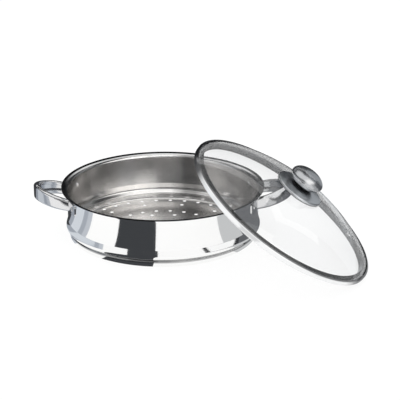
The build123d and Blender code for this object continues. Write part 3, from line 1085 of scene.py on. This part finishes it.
def strap_mesh(name, handle, pot):
    """Right-hand loop, whose long lines start and end on the tabs."""
    outer = pot.wall_radius + pot.sheet
    cut = outer + handle.weld_gap + handle.sheet / 2
    leg = [(outer + a * handle.reach, b * handle.half_width) for a, b in LEG_SHARES]
    points = [(x, -y) for x, y in leg] + [(outer + handle.reach, 0.0)] + leg[::-1]
    curve = sampled_curve(points)

    def spot(share_along, index):
        """Place of one point of the section at a share of the loop."""
        here = curve(share_along)
        on = curve(min(share_along + RUN_STEP, 1))
        back = curve(max(share_along - RUN_STEP, 0))
        run = (on - back).normalized()
        climb = (here.x - outer) / handle.reach
        height = handle.wall_height + (handle.nose_height - handle.wall_height) * climb
        across, up = strap_outline(handle, height)[index]
        middle = handle.base_middle + handle.rise * climb
        return Vector((here.x + run.y * across, here.y - run.x * across, middle + up))

    def edge_share(index, inside, outside):
        """Share at which a long line of the strap comes out of the tab."""
        for _ in range(HALVINGS):
            middle = (inside + outside) / 2
            if spot(middle, index).xy.length < cut:
                inside = middle
            else:
                outside = middle
        return outside

    count = len(strap_outline(handle, handle.wall_height))
    ends = [(edge_share(k, 0, END_SHARE), edge_share(k, 1, 1 - END_SHARE)) for k in range(count)]
    work = bmesh.new()
    rings = []
    for station in range(HANDLE_STATIONS + 1):
        on = station / HANDLE_STATIONS
        rings.append([work.verts.new(spot(a + (b - a) * on, k)) for k, (a, b) in enumerate(ends)])
    for lower, upper in zip(rings, rings[1:]):
        for k in range(count):
            after = (k + 1) % count
            work.faces.new([lower[k], lower[after], upper[after], upper[k]])
    for ring in (rings[0], rings[-1]):
        work.faces.new(ring)
    for side in (-1, 1):
        add_tab(work, handle, pot, side)
    bmesh.ops.recalc_face_normals(work, faces=work.faces)
    mesh = bpy.data.meshes.new(name)
    work.to_mesh(mesh)
    work.free()
    smooth(mesh)
    return mesh


def add_tab(work, handle, pot, side):
    """Curved plate with rounded far corners on the wall, from under the leg outwards."""
    inner = pot.wall_radius + pot.sheet + handle.weld_gap
    outer = inner + handle.sheet
    near = math.asin((handle.half_width - handle.depth) / outer)
    far = handle.tab_far_turn
    width = (far - near) * outer
    columns = []
    for column in range(TAB_COLUMNS + 1):
        along = width * (1 - math.cos(math.pi * column / TAB_COLUMNS)) / 2
        from_end = min(along, width - along)
        missing = max(0.0, handle.tab_corner - from_end)
        half = handle.tab_height / 2 - handle.tab_corner
        half += math.sqrt(max(0.0, handle.tab_corner**2 - missing**2))
        turn = side * (near + along / outer)
        rows = []
        for radius, up in ((inner, -half), (outer, -half), (outer, half), (inner, half)):
            place = (radius * math.cos(turn), radius * math.sin(turn), handle.base_middle + up)
            rows.append(work.verts.new(place))
        columns.append(rows)
    for first, second in zip(columns, columns[1:]):
        for k in range(4):
            after = (k + 1) % 4
            work.faces.new([first[k], first[after], second[after], second[k]])
    work.faces.new(columns[0])
    work.faces.new(columns[-1])


def rivet_outline(handle, pot):
    """Right half of a rivet's section, along its own axis outwards from the pot's axis."""
    inner_face = pot.wall_radius - handle.seat_gap
    inner_face -= handle.inner_head_radius**2 / (2 * pot.wall_radius)
    outer_face = pot.wall_radius + pot.sheet + handle.weld_gap + handle.sheet + handle.seat_gap
    rounding = handle.head_height / 2
    points = [(0.0, inner_face - handle.head_height)]
    foot = (handle.inner_head_radius - rounding, inner_face - handle.head_height + rounding)
    points += arc(foot, rounding, -math.pi / 2, 0)
    points += [(handle.inner_head_radius, inner_face), (handle.shank_radius, inner_face)]
    points += [(handle.shank_radius, outer_face), (handle.outer_head_radius, outer_face)]
    crown = (handle.outer_head_radius - rounding, outer_face + handle.head_height - rounding)
    points += arc(crown, rounding, 0, math.pi / 2)
    points += [(0.0, outer_face + handle.head_height)]
    return points


# Pieces of the lid


def lid_place():
    """Matrix of the lid's frame: origin in the middle of its seat's underside, Z out of the dome."""
    lid = bpy.context.scene.steamer_lid
    low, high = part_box("screw_washer")
    washer_middle = (low + high) / 2
    turned = Matrix.Rotation(lid.turn, 4, "Z") @ Matrix.Rotation(lid.tilt, 4, "Y")
    axis = turned @ Vector((0, 0, 1))
    return Matrix.Translation(washer_middle - axis * washer_height()) @ turned


def washer_height():
    """Height of the washer's middle in the lid's own frame."""
    lid = bpy.context.scene.steamer_lid
    knob = bpy.context.scene.steamer_knob
    inner = lid.dome_radius - lid.glass
    hollow = dome_middle(lid) + math.sqrt(inner**2 - INNER_GASKET_RADIUS**2)
    return hollow - INNER_GASKET - 2 * knob.stack_gap - WASHER / 2


def edge_space(lid):
    """Room that band and seal take outside the glass's edge, and under it."""
    return lid.band_sheet + lid.seal + 2 * lid.seal_gap + lid.seal_play


def glass_edge(lid):
    """Radius of the glass's edge."""
    return lid.band_radius - edge_space(lid)


def dome_middle(lid):
    """Height of the centre of the glass's spheres."""
    inner = lid.dome_radius - lid.glass
    return edge_space(lid) - math.sqrt(inner**2 - glass_edge(lid) ** 2)


def glass_top(lid):
    """Height of the top of the glass."""
    return dome_middle(lid) + lid.dome_radius


def over_glass(lid, out, extra):
    """Height of a sphere that clears the outer face of the glass by some distance."""
    return dome_middle(lid) + math.sqrt((lid.dome_radius + extra) ** 2 - out**2)


def under_glass(lid, out, extra):
    """Height of a sphere that clears the inner face of the glass by some distance."""
    return dome_middle(lid) + math.sqrt((lid.dome_radius - lid.glass - extra) ** 2 - out**2)


def glass_outline(lid):
    """Closed section of the glass with softly rounded edges."""
    middle = dome_middle(lid)
    edge = glass_edge(lid)
    soft = lid.edge_rounding
    inner = lid.dome_radius - lid.glass
    upper_slope = math.asin((edge - soft) / lid.dome_radius)
    lower_slope = math.asin((edge - soft) / inner)
    upper_end = edge - soft * (1 - math.sin(upper_slope))
    lower_end = edge - soft * (1 + math.sin(lower_slope))
    top = sphere_arc(middle, lid.dome_radius, lid.screw_hole_radius, upper_end, GLASS_STEPS)
    low = sphere_arc(middle, inner, lower_end, lid.screw_hole_radius, GLASS_STEPS)
    upper_middle = (edge - soft, top[-1].y - soft * math.cos(upper_slope))
    lower_middle = (edge - soft, low[0].y + soft * math.cos(lower_slope))
    upper = arc(upper_middle, soft, math.pi / 2 - upper_slope, 0)
    lower = arc(lower_middle, soft, 0, -math.pi / 2 - lower_slope)
    return top + upper[1:] + lower[:-1] + low


def cut_vent(glass, lid, place):
    """Bore the vent's hole and keep the glass's faces truly round."""
    low, high = -3 * lid.glass, lid.glass
    side = [(lid.vent_hole_radius, low), (lid.vent_hole_radius, high)]
    outline = [(0.0, low), *side, (0.0, high)]
    drill = lathe("vent_drill", outline, SMALL_SEGMENTS, place @ vent_place(lid), closed=False)
    modifier = glass.modifiers.new("vent", "BOOLEAN")
    modifier.operation = "DIFFERENCE"
    modifier.solver = "EXACT"
    modifier.object = drill
    bored = evaluated(glass, glass.name)
    bpy.data.objects.remove(drill)
    centre = place @ Vector((0, 0, dome_middle(lid)))
    inner = lid.dome_radius - lid.glass
    mesh = bored.data
    smooth(mesh)
    normals = [corner.vector.copy() for corner in mesh.corner_normals]
    for face in mesh.polygons:
        for index in face.loop_indices:
            spoke = mesh.vertices[mesh.loops[index].vertex_index].co - centre
            outward = spoke.normalized()
            facing = face.normal.dot(outward)
            if abs(spoke.length - lid.dome_radius) < ON_SPHERE and facing > SAME_WAY:
                normals[index] = outward
            elif abs(spoke.length - inner) < ON_SPHERE and facing < -SAME_WAY:
                normals[index] = -outward
    mesh.normals_split_custom_set(normals)
    return bored


def vent_place(lid):
    """Frame on the outer face of the glass at the vent, Z out of the glass."""
    lean = math.asin(lid.vent_radius / lid.dome_radius)
    centre = Matrix.Translation((0, 0, dome_middle(lid)))
    turned = Matrix.Rotation(lid.vent_turn, 4, "Z") @ Matrix.Rotation(lean, 4, "Y")
    return centre @ turned @ Matrix.Translation((0, 0, lid.dome_radius))


def band_outline(lid):
    """Closed section of the folded band: lip, wall, seat under the glass and locating ring."""
    half = lid.band_sheet / 2
    wall = lid.band_radius - half
    over = 2 * lid.seal_gap + lid.seal + half
    lip = glass_edge(lid) - lid.band_lap
    ring_outside = lid.locating_radius - half
    ring_inside = lid.locating_radius - lid.locating_width + half
    foot = half - lid.locating_depth
    points = [
        (lip, over_glass(lid, lip, over)),
        (wall, over_glass(lid, wall, over)),
        (wall, half),
        (ring_outside, half),
        (ring_outside, foot),
        (ring_inside, foot),
        (ring_inside, under_glass(lid, ring_inside, lid.seal_gap + half)),
    ]
    bends = [lid.fold_bend, lid.fold_bend, lid.seat_bend, lid.locating_bend, lid.locating_bend]
    return sheet_loop(rounded(points, bends), half)


def seal_outline(lid):
    """Closed section of the soft channel round the glass's edge."""
    half = lid.seal / 2
    clear = lid.seal_gap + half
    edge = glass_edge(lid) + clear
    end = glass_edge(lid) - lid.seal_lap
    points = [
        (end, over_glass(lid, end, clear)),
        (edge, over_glass(lid, edge, clear)),
        (edge, under_glass(lid, edge, clear)),
        (end, under_glass(lid, end, clear)),
    ]
    return sheet_loop(rounded(points, [lid.seal_bend] * 2), half)


def eyelet_outline(lid):
    """Closed section of the flanged tube."""
    bore = lid.eyelet_bore
    tube = lid.eyelet_radius
    tail = -lid.glass - lid.collar - lid.vent_gap - lid.eyelet_tail
    top = lid.vent_gap + lid.eyelet_flange
    rounding = lid.eyelet_flange / 2
    points = [Vector((bore, tail)), Vector((tube, tail)), Vector((tube, lid.vent_gap))]
    points.append(Vector((lid.eyelet_flange_radius, lid.vent_gap)))
    points += arc((lid.eyelet_flange_radius - rounding, top - rounding), rounding, 0, math.pi / 2)
    points += arc((bore + rounding, top - rounding), rounding, math.pi / 2, math.pi)
    return points


def collar_outline(lid):
    """Closed section of the ring on the eyelet's tail."""
    top = -lid.glass - lid.vent_gap
    inner = lid.eyelet_radius + lid.collar_gap
    rounding = lid.collar / 4
    points = [Vector((inner, top)), Vector((lid.collar_radius, top))]
    points += arc((lid.collar_radius - rounding, top - lid.collar + rounding), rounding, 0, -math.pi / 2)
    points.append(Vector((inner, top - lid.collar)))
    return points


def skirt_outline(lid, knob):
    """Closed section of the bell under the knob."""
    half = knob.bell_sheet / 2
    edge = knob.skirt_radius - half
    low = over_glass(lid, knob.skirt_radius, 0) + knob.gasket
    crown = glass_top(lid) + knob.crown_height - half
    points = [
        (edge, low + half),
        (edge, low + knob.edge_height + knob.edge_bend),
        (knob.crown_radius, crown),
        (knob.stem_radius + knob.stem_gap + half, crown),
    ]
    return sheet_loop(rounded(points, [knob.edge_bend, knob.crown_bend]), half)


def cap_side(lid, knob, inset):
    """Oval side of the head, set in from its surface, from the mouth up to the axis."""
    radius = knob.cap_radius - inset
    half_height = knob.cap_half_height - inset
    middle = glass_top(lid) + knob.cap_middle
    mouth = -math.acos(knob.mouth_radius / knob.cap_radius)
    points = []
    for step in range(CAP_STEPS + 1):
        turn = mouth + (math.pi / 2 - mouth) * step / CAP_STEPS
        points.append(Vector((radius * math.cos(turn), middle + half_height * math.sin(turn))))
    points[-1].x = 0.0
    return points


def cap_outline(lid, knob):
    """Section of the head's shell from its inner top round the mouth to its outer top."""
    outer = cap_side(lid, knob, 0.0)
    inner = cap_side(lid, knob, knob.cap_sheet)
    return inner[::-1] + outer


def core_outline(lid, knob):
    """Right half of the core's section, from its foot to its top."""
    side = cap_side(lid, knob, knob.cap_sheet + knob.core_gap)
    shoulder = glass_top(lid) + knob.crown_height + knob.stack_gap
    foot = glass_top(lid) + knob.stem_gasket + 2 * knob.stack_gap
    points = [(0.0, foot), (knob.stem_radius, foot), (knob.stem_radius, shoulder)]
    points += [(knob.shoulder_radius, shoulder)]
    return points + side


# Stage


def seen_share(graph):
    """1 for rays that see the room plainly: from the camera, in reflections and through glass."""
    path = graph.node("ShaderNodeLightPath")
    seen = graph.out(path, "Is Camera Ray") + graph.out(path, "Is Glossy Ray")
    return (seen + graph.out(path, "Is Transmission Ray")).math("MINIMUM", 1.0)


def room_world(level):
    """White room: plain white where it is seen, and soft light elsewhere."""
    world = bpy.data.worlds.new("room")
    world.use_nodes = True
    graph = Graph(world.node_tree)
    background = next(n for n in world.node_tree.nodes if n.type == "BACKGROUND")
    seen = seen_share(graph)
    strength = seen + (1.0 - seen) * level
    graph.feed(background.inputs["Strength"], strength)
    graph.feed(background.inputs["Color"], WHITE)
    bpy.context.scene.world = world


def glow_material(name, tone):
    """Plain card of one tone, which only reflections show."""
    material = bpy.data.materials.new(name)
    material.use_nodes = True
    tree = material.node_tree
    tree.nodes.clear()
    graph = Graph(tree)
    glow = graph.make("ShaderNodeEmission", values={"Color": (*tone, 1), "Strength": 1.0})
    graph.node("ShaderNodeOutputMaterial", values={"Surface": glow})
    return material


def floor_material(share_white):
    """Pale floor that shows nearly white and keeps the object's soft shadow."""
    pale = Finish("pale_floor")
    grain = pale.noise(pale.point, scale=2.0)
    pale.finish(
        Base_Color=pale.mix(grain, FLOOR_GREY, FLOOR_PALE),
        Roughness=0.7,
        Specular_IOR_Level=0.0,
    )
    white = pale.make("ShaderNodeEmission", values={"Color": WHITE, "Strength": FLOOR_STRENGTH})
    seen = seen_share(pale) * share_white
    mixed = pale.make("ShaderNodeMixShader", values={0: seen, 1: pale.out(pale.shader), 2: white})
    output = next(n for n in pale.tree.nodes if n.type == "OUTPUT_MATERIAL")
    pale.feed(output.inputs["Surface"], mixed)
    return pale.material


def around(turn, distance, up):
    """Place at an angle round the pot from the front, positive to +X."""
    return (distance * math.sin(turn), -distance * math.cos(turn), up)


def card(name, start, end, steps, lines, tone):
    """Card that only reflections show: lines of (distance, height) swept between two angles."""
    columns = steps + 1
    turns = [math.radians(start + (end - start) * step / steps) for step in range(columns)]
    points = [around(turn, distance, up) for distance, up in lines for turn in turns]
    faces = [
        (r * columns + c, r * columns + c + 1, (r + 1) * columns + c + 1, (r + 1) * columns + c)
        for r in range(len(lines) - 1)
        for c in range(columns - 1)
    ]
    mesh = bpy.data.meshes.new(name)
    mesh.from_pydata(points, [], faces)
    mesh.materials.append(glow_material(name, tone))
    made = new_object(name, mesh)
    for ray in ("camera", "diffuse", "transmission", "shadow", "volume_scatter"):
        setattr(made, f"visible_{ray}", False)


# Operators


def setting(name):
    """Property that gives one group of the scene's settings."""
    return property(lambda operator: getattr(bpy.context.scene, name))


class Settings:
    """Shared by the operators: the settings of the scene."""

    pot = setting("steamer_pot")
    handle = setting("steamer_handles")
    lid = setting("steamer_lid")
    knob = setting("steamer_knob")
    tones = setting("steamer_finishes")


class STEAMER_OT_shell(Settings, bpy.types.Operator):
    """Drawn shell with its perforated floor"""

    bl_idname = "steamer.shell"
    bl_label = "Pot shell"

    def execute(self, context):
        pot = self.pot
        inside = brushed_steel("brushed_inside", self.tones.brushed, pot)
        # Painted dark reflection on the rim and painted grey shade at the neck
        painted_outside = outside_painted_dark(pot)
        outside = polished_steel("polished_outside", self.tones.polished, painted_dark=painted_outside)
        outline, outer_from = shell_outline(pot)
        shell = lathe("pot_shell", outline, ROUND_SEGMENTS, closed=False, outer_from=outer_from)
        edge = outline[0].x
        tree = floor_tree(hole_rings(pot), inside)
        inputs = {
            "Floor Radius": edge,
            "Sheet": pot.sheet,
            "Hole Radius": pot.hole_radius,
            "Segments": ROUND_SEGMENTS,
        }
        floor = run_tree("pot_floor", tree, inputs)
        floor.data.transform(Matrix.Translation((0, 0, pot.sheet / 2)))
        weld_floor(shell, floor, edge)
        dress(shell, POT, "pot_steel", ["steamer_body"], inside, outside)
        return {"FINISHED"}


class STEAMER_OT_handles(Settings, bpy.types.Operator):
    """Two strap handles with their tabs"""

    bl_idname = "steamer.handles"
    bl_label = "Strap handles"

    def execute(self, context):
        steel = polished_steel("strap_steel", self.tones.handle, roughness=0.09)
        for name, turn in (("right_handle", 0.0), ("left_handle", math.pi)):
            mesh = strap_mesh("strap", self.handle, self.pot)
            mesh.transform(Matrix.Rotation(turn, 4, "Z"))
            dress(new_object(name + "_strap", mesh), POT, "handle_steel", [name], steel)
        return {"FINISHED"}


class STEAMER_OT_rivets(Settings, bpy.types.Operator):
    """Four rivets in the handles' tabs"""

    bl_idname = "steamer.rivets"
    bl_label = "Rivets"

    def execute(self, context):
        steel = polished_steel("rivet_steel", self.tones.handle, roughness=0.14)
        outline = rivet_outline(self.handle, self.pot)
        rivet = lathe("rivet_source", outline, SMALL_SEGMENTS, closed=False)
        tree = rivet_tree(rivet, steel)
        inputs = {"Height": self.handle.base_middle, "Turn": self.handle.rivet_turn}
        rivets = run_tree("handle_rivets", tree, inputs)
        bpy.data.objects.remove(rivet)
        smooth(rivets.data)
        nodes = [f"{side}_{end}_rivet" for side in ("left", "right") for end in ("front", "rear")]
        dress(rivets, POT, "rivet_steel", nodes, steel)
        return {"FINISHED"}


class STEAMER_OT_glass(Settings, bpy.types.Operator):
    """Domed glass with its holes"""

    bl_idname = "steamer.glass"
    bl_label = "Lid glass"

    def execute(self, context):
        place = lid_place()
        glass = lathe("lid_dome", glass_outline(self.lid), ROUND_SEGMENTS, place)
        glass = cut_vent(glass, self.lid, place)
        dress(glass, LID, "glass", ["lid_glass"], clear_glass("lid_glass", self.tones.glass, place))
        return {"FINISHED"}


class STEAMER_OT_band(Settings, bpy.types.Operator):
    """Folded steel band and its seal"""

    bl_idname = "steamer.band"
    bl_label = "Lid band and seal"

    def execute(self, context):
        place = lid_place()
        # The band gets painted shade and dark reflection, and a painted pale reflection on its front
        steel = polished_steel(
            "band_steel",
            self.tones.band,
            place,
            roughness=0.07,
            painted_dark=band_painted_dark(self.lid),
            pale=painted_front_reflection,
        )
        band = lathe("lid_band", band_outline(self.lid), ROUND_SEGMENTS, place)
        dress(band, LID, "band_steel", ["lid_rim_band"], steel)
        silicone = soft_silicone("seal_silicone", self.tones.silicone, place)
        seal = lathe("lid_seal", seal_outline(self.lid), ROUND_SEGMENTS, place)
        dress(seal, LID, "silicone", ["lid_rim_seal"], silicone)
        return {"FINISHED"}


class STEAMER_OT_vent(Settings, bpy.types.Operator):
    """Steam vent: eyelet and collar"""

    bl_idname = "steamer.vent"
    bl_label = "Steam vent"

    def execute(self, context):
        place = lid_place() @ vent_place(self.lid)
        steel = polished_steel("vent_steel", self.tones.polished, place, roughness=0.06)
        eyelet = lathe("vent_tube", eyelet_outline(self.lid), KNOB_SEGMENTS // 2, place)
        dress(eyelet, LID, "band_steel", ["vent_eyelet"], steel)
        collar = lathe("vent_ring", collar_outline(self.lid), KNOB_SEGMENTS // 2, place)
        dress(collar, LID, "band_steel", ["vent_collar"], steel)
        return {"FINISHED"}


class STEAMER_OT_knob(Settings, bpy.types.Operator):
    """Knob: skirt, head and core"""

    bl_idname = "steamer.knob"
    bl_label = "Knob"

    def execute(self, context):
        place = lid_place()
        lid, knob = self.lid, self.knob
        spun = spun_steel("spun_steel", self.tones.spun, place, roughness=0.26, groove=0.02 * MM)
        satin = spun_steel("satin_steel", self.tones.knob, place, roughness=0.22, groove=0.01 * MM)
        skirt = lathe("knob_bell", skirt_outline(lid, knob), KNOB_SEGMENTS, place)
        dress(skirt, LID, "spun_steel", ["knob_skirt"], spun)
        head = lathe("knob_head", cap_outline(lid, knob), KNOB_SEGMENTS, place, closed=False)
        dress(head, LID, "knob_steel", ["knob_cap"], satin)
        core = lathe("knob_filling", core_outline(lid, knob), KNOB_SEGMENTS, place, closed=False)
        plastic = moulded_plastic("core_plastic", self.tones.plastic, place)
        dress(core, LID, "black_plastic", ["knob_core"], plastic)
        return {"FINISHED"}


class STEAMER_OT_fixings(Settings, bpy.types.Operator):
    """Screw, washer, insert and gaskets of the knob"""

    bl_idname = "steamer.fixings"
    bl_label = "Knob fixings"

    def execute(self, context):
        place = lid_place()
        steel = polished_steel("screw_steel", self.tones.handle, place, roughness=0.12)
        brass = spun_steel("turned_brass", self.tones.brass, place, roughness=0.18, groove=0.01 * MM)
        silicone = soft_silicone("gasket_silicone", self.tones.silicone, place)
        finishes = {
            "lid_screw": steel,
            "screw_washer": steel,
            "knob_insert": brass,
            "skirt_gasket": silicone,
            "stem_gasket": silicone,
            "inner_gasket": silicone,
        }
        for name, material in finishes.items():
            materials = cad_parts[name].data.materials
            materials.clear()
            materials.append(material)
        return {"FINISHED"}


class STEAMER_OT_stage(Settings, bpy.types.Operator):
    """Floor, room, reflection cards and camera"""

    bl_idname = "steamer.stage"
    bl_label = "Stage"

    def execute(self, context):
        scene = context.scene
        stage = scene.steamer_stage
        scene.view_settings.view_transform = "Standard"
        room_world(stage.light_level)
        half = stage.floor_size / 2
        mesh = bpy.data.meshes.new("floor")
        corners = [(-half, -half, 0), (half, -half, 0), (half, half, 0), (-half, half, 0)]
        mesh.from_pydata(corners, [], [(0, 1, 2, 3)])
        floor = new_object("floor", mesh)
        mesh.materials.append(floor_material(stage.floor_glow))
        self.cards()
        camera = bpy.data.cameras.new("camera")
        camera.sensor_width = SENSOR_WIDTH
        camera.lens = FOCAL_PIXELS * SENSOR_WIDTH / FRAME_PIXELS
        camera.clip_end = CAMERA_RANGE
        viewer = bpy.data.objects.new("camera", camera)
        scene.collection.objects.link(viewer)
        viewer.location = (0, -stage.camera_back, stage.camera_up)
        viewer.rotation_euler = (math.pi / 2 - stage.camera_pitch, 0, -stage.camera_yaw)
        scene.camera = viewer
        return {"FINISHED"}

    def cards(self):
        """Dark and grey cards round the pot, for the bands in its polished steel."""
        for name, start, end, wall, tone in FLOOR_CARDS:
            steps = max(2, math.ceil((end - start) / CARD_STEP))
            lines = [(CARD_NEAR, CARD_LIFT), (CARD_FAR, CARD_LIFT), (CARD_FAR, wall)]
            card(name, start, end, steps, lines, tone)
        for high_card in HIGH_CARDS:
            card(*high_card)


class STEAMER_PT_panel(bpy.types.Panel):
    """Sizes, finishes and makers of the steamer pot"""

    bl_idname = "STEAMER_PT_panel"
    bl_label = "Steamer pot"
    bl_space_type = "VIEW_3D"
    bl_region_type = "UI"
    bl_category = "Steamer"

    def draw(self, context):
        for maker in MAKERS:
            self.layout.operator(maker.bl_idname)
        for name, group in SETTINGS.items():
            box = self.layout.box()
            box.label(text=group.__doc__.rstrip("."))
            for key in group.__annotations__:
                box.prop(getattr(context.scene, name), key)


MAKERS = [
    STEAMER_OT_stage,
    STEAMER_OT_shell,
    STEAMER_OT_handles,
    STEAMER_OT_rivets,
    STEAMER_OT_glass,
    STEAMER_OT_band,
    STEAMER_OT_vent,
    STEAMER_OT_knob,
    STEAMER_OT_fixings,
]


def register():
    """Add the settings, makers and panel."""
    for name, group in SETTINGS.items():
        bpy.utils.register_class(group)
        setattr(bpy.types.Scene, name, PointerProperty(type=group))
    for maker in MAKERS:
        bpy.utils.register_class(maker)
    bpy.utils.register_class(STEAMER_PT_panel)


def unregister():
    """Take them away again."""
    bpy.utils.unregister_class(STEAMER_PT_panel)
    for maker in reversed(MAKERS):
        bpy.utils.unregister_class(maker)
    for name, group in SETTINGS.items():
        delattr(bpy.types.Scene, name)
        bpy.utils.unregister_class(group)


def main():
    """Make everything: register the settings and run every maker."""
    register()
    for maker in MAKERS:
        _, name = maker.bl_idname.split(".")
        getattr(bpy.ops.steamer, name)()


if __name__ == "__main__":
    main()
